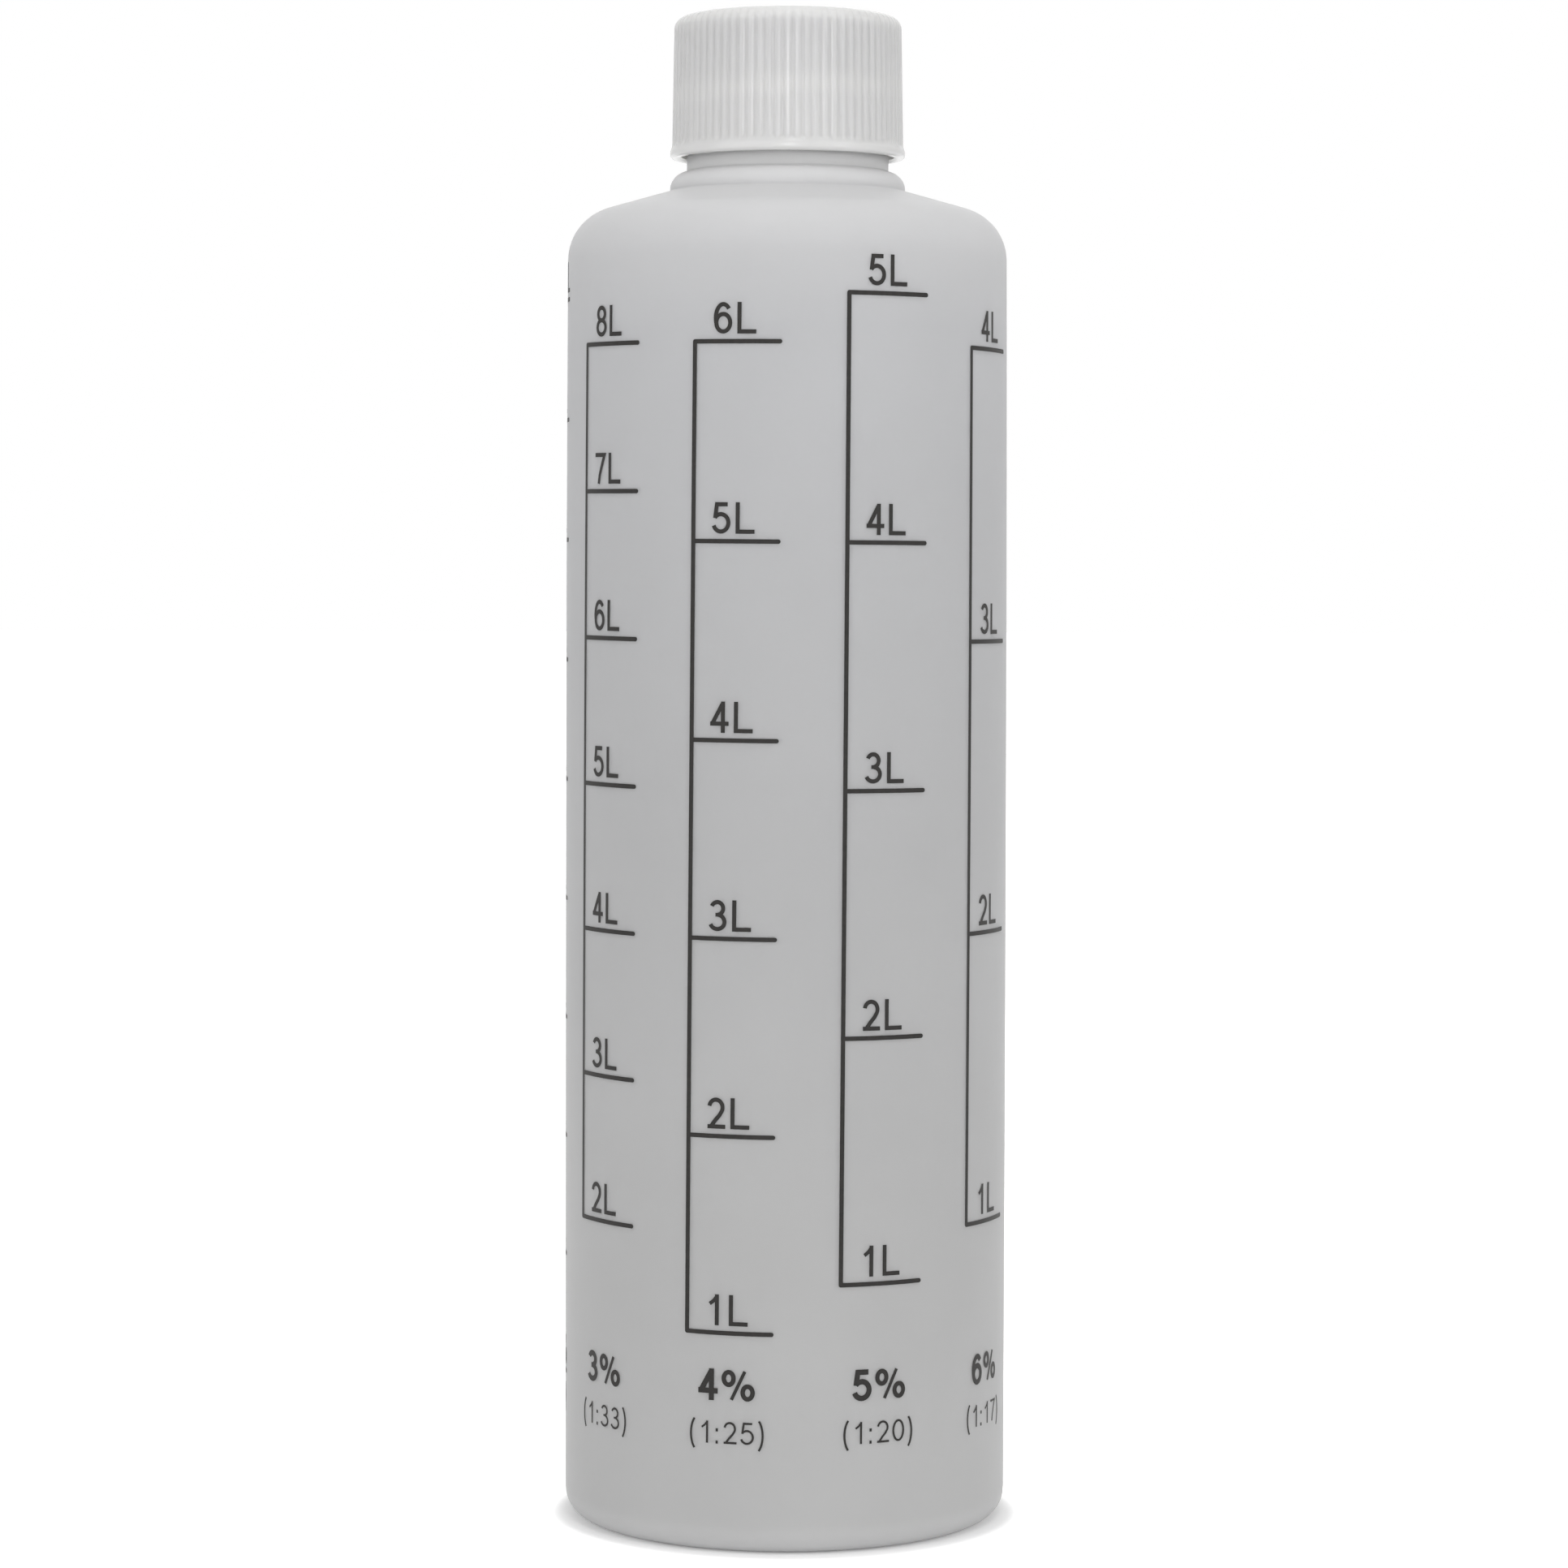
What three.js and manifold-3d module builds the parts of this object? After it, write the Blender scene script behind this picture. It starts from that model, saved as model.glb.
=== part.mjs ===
// Oil dosing bottle: a round blow-moulded bottle, a ribbed screw cap and the foam disc that seals it.
// Units are millimetres and +Z is up. The origin is the middle of the base, at the level it stands on.
// The dosing scales are printed on the side that faces -Y.

import * as THREE from 'three';
import { mergeVertices } from 'three/addons/utils/BufferGeometryUtils.js';
import Module from 'manifold-3d';

const wasm = await Module();
wasm.setup();

const degrees = Math.PI / 180;
const fullTurn = 2 * Math.PI;

// Body of the bottle
const bodyRadius = 25.24;
const bodyDraw = 0.28; // radius lost between the base and the shoulder
const bodyHeight = 143.3; // level at which the wall turns in to the shoulder
const bodyWall = 1.0;
const shoulderRound = 5.9;
const shoulderSlope = 16 * degrees;

// Base
const baseWall = 1.3;
const baseCorner = 3.0;
const standingRing = 4.5; // width of the flat ring that it stands on
const pushUp = 3.6; // rise of the hollow in the middle of the base
const weldWidth = 0.9; // weld line where the mould pinched the tube of plastic shut
const weldHeight = 0.35;
const weldMargin = 2.7; // from each end of the weld line to the standing ring

// Neck
const finishRadius = 10.7; // root of the thread
const finishHeight = 15.0; // from the top of the collar to the rim
const finishWall = 1.95;
const landStand = 0.7; // plain band under the thread, standing out from its root
const landHeight = 1.6;
const collarStand = 1.9; // how far the collar stands out from the plain band
const collarHeight = 2.4;
const collarFillet = 0.5;
const boreFlare = 2.5; // rounding where the bore opens into the shoulder
const rimChamfer = 0.3;

// Right-hand thread of the neck, 8 to the inch
const threadPitch = 3.175;
const threadTurns = 1.5;
const threadDepth = 1.1;
const threadCrest = 0.7; // width of the ridge's flat top
const threadFlank = 25 * degrees; // slope of its sides
const threadDrop = 1.2; // from the rim to the upper end of the ridge
const threadFirstAngle = 40 * degrees; // where its lower end lies round the neck
const threadRunOut = 35 * degrees; // over which each end of the ridge fades away

// Clearances between the neck and the cap
const crestClearance = 0.25; // radial, at the crests of both threads
const flankClearance = 0.3; // axial, between the flanks that pull the cap down
const flankPlay = 0.33; // axial, on the other side of the cap's ridge
const skirtClearance = 0.6; // between the collar and the lower edge of the cap
const linerClearance = 0.2; // radial, round the sealing disc

// Sealing disc
const linerThickness = 1.0;
const linerEdge = 0.15;

// Screw cap
const capTopWall = 1.3;
const capWall = 0.75; // at the top, between two ribs
const capDraft = 0.22; // radius gained from the top of the skirt to its bead
const capEdgeRound = 1.4;
const capThreadTurns = 1.25;
const capThreadLead = 20 * degrees; // its upper end stops this far short of the neck's
const skirtLeadIn = 0.3; // chamfer inside the lower edge
const beadHeight = 1.5;
const beadStand = 0.33; // how far the bead stands out from the skirt
const beadSlope = 1.1; // height over which it dies away upwards
const beadRound = 0.75;
const ribCount = 76;
const ribDepth = 0.18;
const ribCrest = 0.32; // width of a rib's flat top
const ribFlank = 0.14; // width of each of its sloping sides

// How finely round forms are divided
const bottleSegments = 60;
const threadSegments = 48; // in one turn
const capSegments = 60;
const linerSegments = 48;
const sink = 0.3; // how far a ridge reaches into the wall that it stands on

// Points on an arc about (x, z), between two angles from +X, as an outline in the XZ plane
function arc(x, z, radius, from, to, steps) {
  const curve = new THREE.ArcCurve(x, z, radius, from, to, to < from);
  return curve.getPoints(steps);
}

function point(x, z) {
  return new THREE.Vector2(x, z);
}

// A solid of revolution about +Z, from an outline that starts and ends on the axis
function revolve(outline, segments) {
  const geometry = new THREE.LatheGeometry(outline, segments);
  geometry.rotateX(90 * degrees);
  return toSolid(geometry);
}

function middleOf(ring) {
  const sum = ring.reduce((total, corner) => total.map((value, axis) => value + corner[axis]), [0, 0, 0]);
  return sum.map((value) => value / ring.length);
}

// A closed solid through rings of points that run anticlockwise about the way it is built, with the
// first and the last ring filled in towards their middles
function loft(rings) {
  const size = rings[0].length;
  const positions = [...rings.flat(2), ...middleOf(rings[0]), ...middleOf(rings.at(-1))];
  const firstMiddle = rings.length * size;
  const lastMiddle = firstMiddle + 1;
  const triangles = [];
  for (let ring = 0; ring + 1 < rings.length; ring++) {
    for (let corner = 0; corner < size; corner++) {
      const a = ring * size + corner;
      const b = ring * size + (corner + 1) % size;
      triangles.push(a, b, b + size, a, b + size, a + size);
    }
  }
  const last = (rings.length - 1) * size;
  for (let corner = 0; corner < size; corner++) {
    const next = (corner + 1) % size;
    triangles.push(firstMiddle, next, corner);
    triangles.push(lastMiddle, last + corner, last + next);
  }
  const geometry = new THREE.BufferGeometry();
  geometry.setAttribute('position', new THREE.Float32BufferAttribute(positions, 3));
  geometry.setIndex(triangles);
  return toSolid(geometry);
}

// A geometry as a solid that can be joined: vertices merged, empty triangles on the axis left out
function toSolid(geometry) {
  geometry.deleteAttribute('normal');
  geometry.deleteAttribute('uv');
  const merged = mergeVertices(geometry, 1e-5);
  const index = merged.index.array;
  const triangles = [];
  for (let i = 0; i < index.length; i += 3) {
    const [a, b, c] = index.slice(i, i + 3);
    if (a !== b && b !== c && c !== a) triangles.push(a, b, c);
  }
  const mesh = new wasm.Mesh({
    numProp: 3,
    vertProperties: merged.attributes.position.array,
    triVerts: new Uint32Array(triangles),
  });
  return new wasm.Manifold(mesh);
}

function toMesh(name, solid, material) {
  const { vertProperties, triVerts } = solid.getMesh();
  const geometry = new THREE.BufferGeometry();
  geometry.setAttribute('position', new THREE.BufferAttribute(vertProperties, 3));
  geometry.setIndex(new THREE.BufferAttribute(triVerts, 1));
  geometry.computeVertexNormals();
  const mesh = new THREE.Mesh(geometry, material);
  mesh.name = name;
  return mesh;
}

// A helical ridge on a round wall. Its depth is positive when it stands outwards, negative inwards.
function threadRidge({ wallRadius, depth, crest, turns, startAngle, startZ }) {
  const side = Math.sign(depth);
  const rootHalf = crest / 2 + (Math.abs(depth) + sink) * Math.tan(threadFlank);
  const length = turns * fullTurn;
  const steps = Math.ceil(turns * threadSegments);
  const rings = [];
  for (let step = 0; step <= steps; step++) {
    const turned = length * step / steps;
    const fade = Math.min(1, turned / threadRunOut, (length - turned) / threadRunOut);
    const rootRadius = wallRadius - side * sink;
    const crestRadius = wallRadius + depth * fade - side * sink / 2 * (1 - fade);
    const angle = startAngle + turned;
    const z = startZ + threadPitch * turned / fullTurn;
    const section = [
      [rootRadius, z - rootHalf],
      [crestRadius, z - crest / 2],
      [crestRadius, z + crest / 2],
      [rootRadius, z + rootHalf],
    ];
    if (side > 0) section.reverse();
    rings.push(section.map(([r, height]) => [r * Math.cos(angle), r * Math.sin(angle), height]));
  }
  return loft(rings);
}

// Levels and places that follow from the sizes above
const shoulderRadius = bodyRadius - bodyDraw;
const shoulderCentre = shoulderRadius - shoulderRound;
const coneRadius = shoulderCentre + shoulderRound * Math.sin(shoulderSlope);
const coneStart = bodyHeight + shoulderRound * Math.cos(shoulderSlope);
const coneLevel = (radius) => coneStart + (coneRadius - radius) * Math.tan(shoulderSlope);
const boreRadius = finishRadius - finishWall;
const landRadius = finishRadius + landStand;
const collarRadius = landRadius + collarStand;
const collarTop = coneLevel(collarRadius) + collarHeight;
const rim = collarTop + finishHeight;
const ringInner = bodyRadius - baseCorner - standingRing;
const bodyRadiusAt = (z) => bodyRadius - bodyDraw * (z / bodyHeight) ** 3;
const baseLevel = (radius) => pushUp * (1 - (radius / ringInner) ** 2);

const threadMean = threadCrest + threadDepth * Math.tan(threadFlank); // width of the ridge half way up
const threadFoot = 2 * threadMean - threadCrest;
const threadStart = rim - threadDrop - threadFoot / 2 - threadPitch * threadTurns;
const capBore = finishRadius + Math.max(threadDepth, landStand) + crestClearance;
const capUnderTop = rim + linerThickness;
const capTop = capUnderTop + capTopWall;
const skirtEnd = collarTop + skirtClearance;

// The blown bottle, one wall from the middle of the base round the rim and back down inside
function bottleOutline() {
  const bodyLevels = [baseCorner, bodyHeight * 0.4, bodyHeight * 0.75, bodyHeight];
  const domeSteps = [0, 0.35, 0.7, 1];
  const cornerInside = Math.max(baseCorner - bodyWall, bodyWall / 2);
  const cornerInsideX = bodyRadius - bodyWall - cornerInside;
  const filletX = collarRadius + collarFillet;
  const filletZ = coneLevel(filletX) + collarFillet / Math.cos(shoulderSlope);
  const collarRound = Math.min(collarStand, collarHeight - collarFillet);
  const flareX = boreRadius + boreFlare;
  const flareZ = coneLevel(flareX) + (boreFlare - bodyWall) / Math.cos(shoulderSlope);

  const outside = [
    ...domeSteps.map((step) => point(ringInner * step, baseLevel(ringInner * step))),
    ...arc(bodyRadius - baseCorner, baseCorner, baseCorner, -90 * degrees, 0, 4).slice(0, -1),
    ...bodyLevels.map((z) => point(bodyRadiusAt(z), z)),
    ...arc(shoulderCentre, bodyHeight, shoulderRound, 0, 90 * degrees - shoulderSlope, 6).slice(1),
    ...arc(filletX, filletZ, collarFillet, -90 * degrees - shoulderSlope, -180 * degrees, 2),
    ...arc(collarRadius - collarRound, collarTop - collarRound, collarRound, 0, 90 * degrees, 4),
    point(landRadius, collarTop),
    point(landRadius, collarTop + landHeight),
    point(finishRadius, collarTop + landHeight + landStand),
    point(finishRadius, rim - rimChamfer),
    point(finishRadius - rimChamfer, rim),
  ];
  const inside = [
    point(boreRadius + rimChamfer, rim),
    point(boreRadius, rim - rimChamfer),
    ...arc(flareX, flareZ, boreFlare, 180 * degrees, 270 * degrees - shoulderSlope, 3),
    ...arc(shoulderCentre, bodyHeight, shoulderRound - bodyWall, 90 * degrees - shoulderSlope, 0, 4),
    ...bodyLevels.slice(1, -1).reverse().map((z) => point(bodyRadiusAt(z) - bodyWall, z)),
    ...arc(cornerInsideX, baseWall + cornerInside, cornerInside, 0, -90 * degrees, 3),
    ...domeSteps.toReversed().map((step) => {
      return point(ringInner * step, baseLevel(ringInner * step) + baseWall);
    }),
  ];
  return [...outside, ...inside];
}

// The raised weld line across the hollow of the base, in the plane where the mould parts
function weldLine() {
  const stations = [-1, -0.9, -0.5, 0, 0.5, 0.9, 1];
  const rings = stations.map((station) => {
    const x = station * (ringInner - weldMargin);
    const surface = baseLevel(x);
    const lowest = surface - (Math.abs(station) < 1 ? weldHeight : 0.02);
    return [
      [x, -weldWidth / 2, surface + sink],
      [x, -weldWidth / 4, lowest],
      [x, weldWidth / 4, lowest],
      [x, weldWidth / 2, surface + sink],
    ];
  });
  return loft(rings);
}

function bottle() {
  const thread = threadRidge({
    wallRadius: finishRadius,
    depth: threadDepth,
    crest: threadCrest,
    turns: threadTurns,
    startAngle: threadFirstAngle,
    startZ: threadStart,
  });
  return revolve(bottleOutline(), bottleSegments).add(thread).add(weldLine());
}

// The skirt between two ribs: its radius grows with the draft from the top down to the bead
const skirtTop = capTop - capEdgeRound;
const beadTop = skirtEnd + beadHeight + beadSlope;
const skirtRadiusAt = (z) => capBore + capWall + capDraft * (skirtTop - z) / (skirtTop - beadTop);

// The smooth bead round the lower edge, with a slope on top that the ribs run down into
function capBead() {
  const beadRadius = skirtRadiusAt(beadTop) + beadStand;
  const slopeTop = 1.5; // the slope runs on inside the skirt, to one and a half times its height
  return revolve([
    point(0, skirtEnd),
    ...arc(beadRadius - beadRound, skirtEnd + beadRound, beadRound, -90 * degrees, 0, 3),
    point(beadRadius, skirtEnd + beadHeight),
    point(beadRadius - slopeTop * beadStand, skirtEnd + beadHeight + slopeTop * beadSlope),
    point(0, skirtEnd + beadHeight + slopeTop * beadSlope),
  ], capSegments);
}

// One level of the ribbed skirt: four corners to a rib, which stands out by a given amount
function ribbedRing(radius, stand, z) {
  const ribAngle = fullTurn / ribCount;
  const foot = ribCrest / 2 + ribFlank;
  const corners = [[-foot, 0], [-ribCrest / 2, stand], [ribCrest / 2, stand], [foot, 0]];
  const ring = [];
  for (let rib = 0; rib < ribCount; rib++) {
    for (const [across, out] of corners) {
      const angle = -90 * degrees + rib * ribAngle + across / radius;
      ring.push([(radius + out) * Math.cos(angle), (radius + out) * Math.sin(angle), z]);
    }
  }
  return ring;
}

// The skirt and top: the ribs run up the skirt and fade out over the rounded edge of the top
function ribbedSkirt() {
  const edgeCentre = skirtRadiusAt(skirtTop) - capEdgeRound;
  const overEdge = [35, 70, 90].map((angle) => ribbedRing(
    edgeCentre + capEdgeRound * Math.cos(angle * degrees),
    ribDepth * Math.cos(angle * degrees),
    skirtTop + capEdgeRound * Math.sin(angle * degrees),
  ));
  const foot = skirtEnd + beadHeight;
  return loft([
    ribbedRing(skirtRadiusAt(foot), ribDepth, foot),
    ribbedRing(skirtRadiusAt(skirtTop), ribDepth, skirtTop),
    ...overEdge,
  ]);
}

// The space inside the cap, open at the lower edge
function capHollow() {
  const below = skirtEnd - skirtLeadIn;
  return revolve([
    point(0, below),
    point(capBore + 2 * skirtLeadIn, below),
    point(capBore, skirtEnd + skirtLeadIn),
    point(capBore, capUnderTop),
    point(0, capUnderTop),
  ], capSegments);
}

// The cap's ridge lies in the groove between the turns of the neck's, and fills it but for the
// clearances on its two flanks and at its crest
function capThread() {
  const mean = threadPitch - threadMean - flankClearance - flankPlay;
  const depth = capBore - finishRadius - crestClearance;
  const firstTurned = threadTurns * fullTurn - capThreadLead - capThreadTurns * fullTurn;
  const drop = threadMean / 2 + flankClearance + mean / 2;
  return threadRidge({
    wallRadius: capBore,
    depth: -depth,
    crest: mean - depth * Math.tan(threadFlank),
    turns: capThreadTurns,
    startAngle: threadFirstAngle + firstTurned,
    startZ: threadStart + threadPitch * firstTurned / fullTurn - drop,
  });
}

function screwCap() {
  return capBead().add(ribbedSkirt()).subtract(capHollow()).add(capThread());
}

function capLiner() {
  const radius = capBore - linerClearance;
  const outline = [
    point(0, rim),
    point(radius - linerEdge, rim),
    point(radius, rim + linerEdge),
    point(radius, capUnderTop - linerEdge),
    point(radius - linerEdge, capUnderTop),
    point(0, capUnderTop),
  ];
  return revolve(outline, linerSegments);
}

const milkyPlastic = new THREE.MeshStandardMaterial({ color: 0xd8d9db, roughness: 0.5, metalness: 0 });
const capPlastic = new THREE.MeshStandardMaterial({ color: 0xdcdcd8, roughness: 0.35, metalness: 0 });
const foam = new THREE.MeshStandardMaterial({ color: 0xf2f1ec, roughness: 0.9, metalness: 0 });

const closure = new THREE.Group();
closure.add(toMesh('screw_cap', screwCap(), capPlastic));
closure.add(toMesh('cap_liner', capLiner(), foam));

const dosingBottle = new THREE.Group();
dosingBottle.add(toMesh('bottle', bottle(), milkyPlastic));
dosingBottle.add(closure);

export default dosingBottle;
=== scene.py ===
"""Oil dosing bottle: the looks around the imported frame.

Sizes are in millimetres until mesh_from() turns them into Blender's metres. Angles round the bottle
are measured from -Y, the printed side, and are positive towards +X.
"""

import math

import bpy
import numpy as np
from mathutils import Matrix, Vector
from mathutils.geometry import delaunay_2d_cdt


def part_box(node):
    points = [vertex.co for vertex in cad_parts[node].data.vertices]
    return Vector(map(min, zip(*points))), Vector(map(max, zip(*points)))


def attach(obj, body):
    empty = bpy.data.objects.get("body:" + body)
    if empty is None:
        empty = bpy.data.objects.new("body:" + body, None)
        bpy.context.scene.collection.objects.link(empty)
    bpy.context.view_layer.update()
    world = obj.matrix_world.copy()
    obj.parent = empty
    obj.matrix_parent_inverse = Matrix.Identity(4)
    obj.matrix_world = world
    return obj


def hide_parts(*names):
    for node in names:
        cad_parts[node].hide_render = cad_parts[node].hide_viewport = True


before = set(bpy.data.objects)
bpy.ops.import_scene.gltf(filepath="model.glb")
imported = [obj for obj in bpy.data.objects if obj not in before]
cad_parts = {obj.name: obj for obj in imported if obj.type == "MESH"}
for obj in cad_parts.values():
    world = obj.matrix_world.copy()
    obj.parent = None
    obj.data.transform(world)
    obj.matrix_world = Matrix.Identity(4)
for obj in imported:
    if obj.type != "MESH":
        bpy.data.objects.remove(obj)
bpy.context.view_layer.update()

MM = 0.001
TURN = 2 * math.pi

# Camera: place and nearest view in metres, lens and sensor in millimetres, angles in radians
CAMERA_PLACE = (0.0, -0.5213, 0.1099)
CAMERA_LENS = 104.76
CAMERA_SENSOR = 36
CAMERA_CLIP = 0.01
CAMERA_DIP = 0.0501
CAMERA_YAW = 0.00046
CAMERA_ROLL = 0.00251

# Boxes of the CAD solids, in millimetres
BOTTLE_HIGH = np.array(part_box("bottle")[1]) / MM
CAP_LOW, CAP_HIGH = (np.array(corner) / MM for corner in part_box("screw_cap"))
LINER_LOW, LINER_HIGH = (np.array(corner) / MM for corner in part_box("cap_liner"))

# Blown body. The visible wall lies a little inside the CAD's, so that ink and seams fit its box.
SKIN = 0.06
BODY_RADIUS = BOTTLE_HIGH[0] - SKIN
BODY_DRAW = 0.28  # how much smaller the radius is at the shoulder than at the foot
BODY_HEIGHT = 143.3
BODY_WALL = 1.0
SHOULDER_ROUND = 5.9
SHOULDER_SLOPE = math.radians(16)
BASE_CORNER = 3.0
BASE_WALL = 1.3
STANDING_RING = 4.5
PUSH_UP = 3.6
SEAM_HEIGHT = 0.045
SEAM_WIDTH = 0.16
SEAM_COLUMNS = (-1.1, -0.8, -0.55, -0.35, -0.18, 0.18, 0.35, 0.55, 0.8, 1.1)  # degrees from a seam
BODY_COLUMNS = 240
WELD_INSET = 2.7  # from the standing ring to the weld line's end
WELD_WIDTH = 0.9
WELD_DEPTH = 0.35

# Neck. The collar's top stands 0.25 lower than the CAD's, where the photo has it.
RIM = BOTTLE_HIGH[2]
FINISH_RADIUS = 10.7
FINISH_HEIGHT = 15.25
FINISH_WALL = 1.95
LAND_STAND = 0.7
LAND_HEIGHT = 1.85
COLLAR_STAND = 1.9
COLLAR_HEIGHT = 2.15
COLLAR_FILLET = 0.3
BORE_FLARE = 2.5
RIM_ROUND = 0.3

# Thread, 8 to the inch
THREAD_PITCH = 3.175
THREAD_TURNS = 1.5
THREAD_DEPTH = 1.1
THREAD_CREST = 0.7
THREAD_FLANK = math.radians(25)
THREAD_DROP = 1.2
THREAD_FIRST = math.radians(40)
THREAD_RUN_OUT = math.radians(35)
FLANK_CLEARANCE = 0.3
FLANK_PLAY = 0.33
CREST_CLEARANCE = 0.25
CAP_THREAD_TURNS = 1.25
CAP_THREAD_LEAD = math.radians(20)

# Screw cap
SKIRT_LIFT = 0.7  # the photo's cap edge is this much higher than the CAD's
SKIRT_END = CAP_LOW[2] + SKIRT_LIFT
CAP_TOP = CAP_HIGH[2]
CAP_TOP_WALL = 1.3
CAP_WALL = 0.75
CAP_DRAFT = 0.22
CAP_EDGE_ROUND = 1.4
SKIRT_LEAD_IN = 0.3
BEAD_HEIGHT = 0.8
BEAD_STAND = 0.33
BEAD_SLOPE = 1.1
BEAD_ROUND = 0.45
RIB_COUNT = 76
RIB_DEPTH = 0.11  # shallower than the CAD's 0.18, which stood out more than the photo's ribs
RIB_CREST = 0.3
RIB_FLANK = 0.3
RIB_SAMPLES = 10
CAP_INSET = 0.02

# Sealing disc
LINER_INSET = 0.01
LINER_EDGE = 0.15
LINER_DENT = 0.06  # how deep the rim presses into the foam
LINER_COLUMNS = 120

# Printed scales: arc length round the wall and height above the base
PRINT_RADIUS = 25.2
PRINT_TILT = 0.0064
PRINT_PIVOT = 109.9
PRINT_FOOT = 2.9
PRINT_PER_ML = 0.5423
LINE_WIDTH = 0.49
TICK_LENGTH = 9.65
SCALE_PITCH = 17.285
FIRST_LINE = -45.14
LABEL_HEIGHT = 3.42
LABEL_STROKE = 0.46
LABEL_START = 2.2
LABEL_LIFT = 0.82
FOOT_MIDDLE = 4.68
PERCENT_BASE = 17.1
PERCENT_HEIGHT = 3.5
PERCENT_STROKE = 0.6
PERCENT_SPACING = (0.65, 0.11)
RATIO_BASE = 12.35
RATIO_HEIGHT = 2.45
RATIO_STROKE = 0.24
INK_STEP = 0.6  # longest stretch of a stroke that stays straight on the round wall
INK_STAND = 0.02
INK_SINK = 0.03

# Each printed scale: its name, share, ratio, millilitres of oil for a litre, and litres marked
SCALES = [
    ("2_5", "2.5%", "(1:40)", 25, range(1, 11)),
    ("3", "3%", "(1:33)", 30, range(2, 9)),
    ("4", "4%", "(1:25)", 40, range(1, 7)),
    ("5", "5%", "(1:20)", 50, range(1, 6)),
    ("6", "6%", "(1:17)", 60, range(1, 5)),
]

# Surroundings, with lengths in metres
WORLD_LEVEL = 0.36
FLOOR_REACH = 6.0
FLOOR_GLOW = 0.2  # near the bottle, low enough to show its shadow
FLOOR_FADE = (0.0252, 0.0288)  # distances from the axis over which the floor turns plain white

# Each soft light: its name, place, what it faces, width, height and power in watts
LIGHTS = [
    ("top_light", (0, 0, 1.3), (0, 0, 0.1), 1.4, 1.4, 4.3),
    ("left_light", (-1.05, -0.8, 0.5), (0, 0, 0.09), 0.8, 1.2, 4.9),
    ("right_light", (1.05, -0.8, 0.5), (0, 0, 0.09), 0.8, 1.2, 5.3),
    ("front_light", (0, -1.4, 0.2), (0, 0, 0.09), 0.8, 0.6, 2.4),
    ("back_light", (0, 1.35, 0.9), (0, 0, 0.09), 1.2, 1.0, 1.3),
    ("high_spot", (0.09, -0.85, 1.0), (0, 0, 0.15), 0.2, 0.25, 1.6),
    ("low_spot", (0.03, -1.2, 0.29), (0, 0, 0.15), 0.05, 0.14, 1.3),
]

SMOOTH_BELOW = math.radians(35)  # edges that turn by less than this are shaded smooth


# Meshes

def mesh_from(name, points, faces):
    """A mesh object from points in millimetres."""
    mesh = bpy.data.meshes.new(name)
    mesh.from_pydata((np.asarray(points, dtype=float) * MM).tolist(), [], faces)
    mesh.validate()
    mesh.polygons.foreach_set("use_smooth", [True] * len(mesh.polygons))
    mesh.set_sharp_from_angle(angle=SMOOTH_BELOW)
    piece = bpy.data.objects.new(name, mesh)
    bpy.context.scene.collection.objects.link(piece)
    return piece


def arc(x, z, radius, start, end, steps):
    """Points on an arc about (x, z), between two angles in degrees from +X."""
    angles = np.radians(np.linspace(start, end, steps + 1))
    return [(x + radius * math.cos(a), z + radius * math.sin(a)) for a in angles]


def straight(start, end, step):
    """Points from start towards end, about a step apart, without the end itself."""
    count = max(1, math.ceil(math.dist(start, end) / step - 0.01))
    return [tuple(np.add(start, np.subtract(end, start) * i / count)) for i in range(count)]


def turned(name, outline, angles, relief):
    """A closed turned form. The outline starts and ends on the axis, and its points may carry
    tags. relief(radius, height, around, tags) gives how far each stands out from the outline."""
    first, last = outline[0], outline[-1]
    rows = outline[1:-1]
    radius = np.array([row[0] for row in rows])[:, None]
    height = np.array([row[1] for row in rows])[:, None]
    tags = np.array([row[2] if len(row) > 2 else "" for row in rows])[:, None]
    around = np.array(angles)[None, :]
    r = radius + relief(radius, height, around, tags)
    points = np.stack([r * np.sin(around), -r * np.cos(around), height + 0 * r], axis=-1)
    count = len(angles)
    flat = points.reshape(-1, 3).tolist()
    start, end = len(flat), len(flat) + 1
    flat += [[0, 0, first[1]], [0, 0, last[1]]]
    faces = []
    for row in range(len(rows) - 1):
        for column in range(count):
            a = row * count + column
            b = row * count + (column + 1) % count
            faces.append((a, b, b + count, a + count))
    top = (len(rows) - 1) * count
    for column in range(count):
        following = (column + 1) % count
        faces.append((start, following, column))
        faces.append((end, top + column, top + following))
    return mesh_from(name, flat, faces)


def smoothstep(value):
    value = np.clip(value, 0, 1)
    return value * value * (3 - 2 * value)


def ridge(height, around, depth, crest, turns, start_angle, start_height):
    """How far a helical ridge stands out at a height and an angle anticlockwise from +X."""
    half_foot = depth * math.tan(THREAD_FLANK)
    total = np.zeros(np.broadcast(height, around).shape)
    for lap in range(math.ceil(turns) + 1):
        travelled = np.mod(around - start_angle, TURN) + lap * TURN
        inside = travelled <= turns * TURN
        fade = np.minimum(travelled, turns * TURN - travelled) / THREAD_RUN_OUT
        middle = start_height + THREAD_PITCH * travelled / TURN
        off = np.abs(height - middle) - crest / 2
        shape = smoothstep(1 - off / half_foot)
        total = np.maximum(total, np.where(inside, depth * smoothstep(fade) * shape, 0))
    return total


# Levels that follow from the sizes above

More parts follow.
